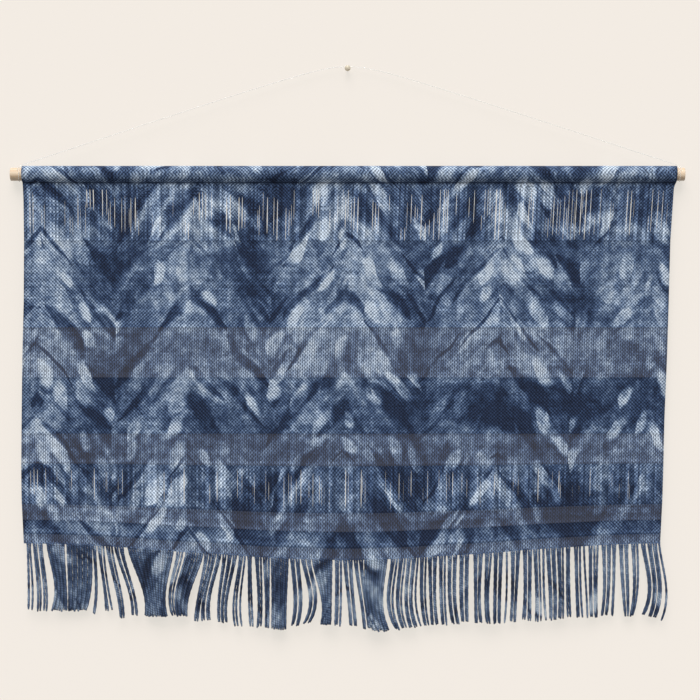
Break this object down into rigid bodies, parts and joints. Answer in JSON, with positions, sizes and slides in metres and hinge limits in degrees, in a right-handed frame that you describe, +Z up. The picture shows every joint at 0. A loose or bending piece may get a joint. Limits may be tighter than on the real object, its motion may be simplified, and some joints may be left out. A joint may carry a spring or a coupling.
{
  "type": "shibori dyed wall cloth on a wooden rod with cord and nail",
  "caption": "Indigo shibori dyed cloth with a top sleeve and a warp fringe, hung on a wooden rod by a thin cord over a round-headed nail.",
  "frame": {"origin": "centre of the nail where it enters the wall, on the wall's plane", "axes": "+Z up, +Y into the wall, +X to the right as seen from the room"},
  "size_m": [0.674, 0.0333, 0.5667],
  "materials": {
    "indigo_cloth": "woven cotton, matte",
    "indigo_fringe": "twisted cotton yarn, matte",
    "pale_wood": "sanded, unvarnished",
    "pale_brass": "dull",
    "clear_nylon": "clear, smooth"
  },
  "bodies": {
    "root": {"cloth_panel": "indigo_cloth", "warp_fringe": "indigo_fringe", "wooden_rod": "pale_wood", "wall_nail": "pale_brass", "hanging_cord": "clear_nylon"}
  },
  "joints": []
}
